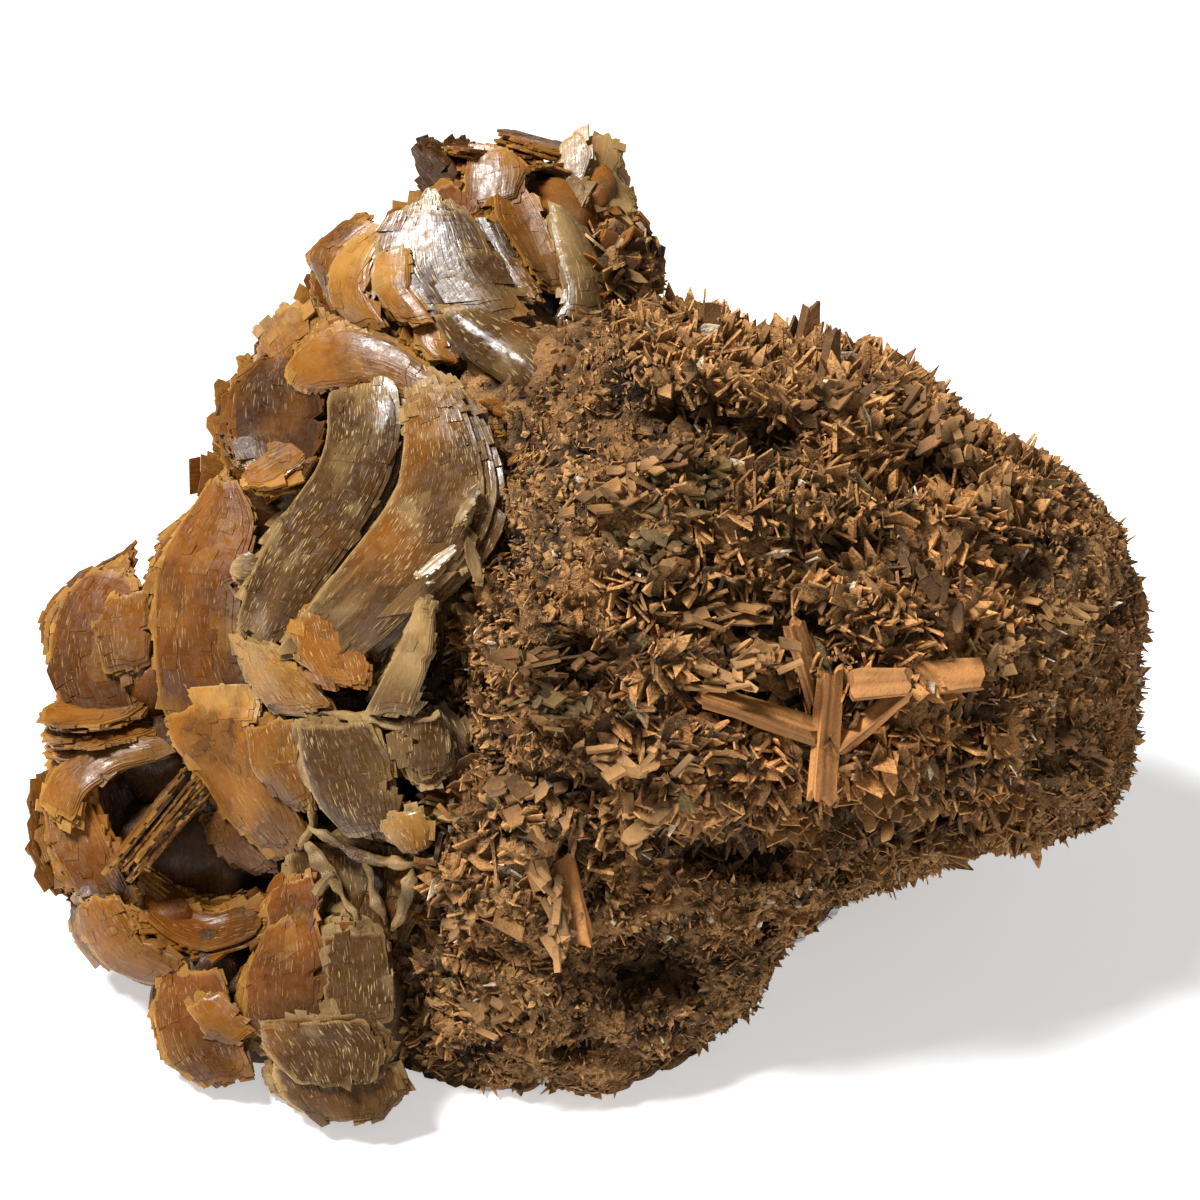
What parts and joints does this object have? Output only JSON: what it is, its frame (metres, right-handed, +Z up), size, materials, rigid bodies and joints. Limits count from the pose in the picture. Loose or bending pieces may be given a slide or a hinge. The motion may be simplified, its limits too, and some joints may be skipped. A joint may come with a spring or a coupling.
{
  "type": "barite specimen",
  "caption": "Hand specimen of barite: a crust of honey-coloured tabular crystals on a brown, spongy mass of small blades.",
  "frame": {"origin": "centre of the whole specimen's box, on the surface it rests on", "axes": "+Z up, +X from the crystal crust to the bladed end, -Y to the side the picture shows"},
  "size_m": [0.1684, 0.1152, 0.1171],
  "materials": {
    "barite_crystal": "glassy, partly see-through tabular crystal, honey to grey and milky white",
    "barite_matrix": "matt brown mass of small blades with iron staining"
  },
  "bodies": {
    "root": {"crystal_crust": "barite_crystal", "matrix": "barite_matrix"}
  },
  "joints": []
}
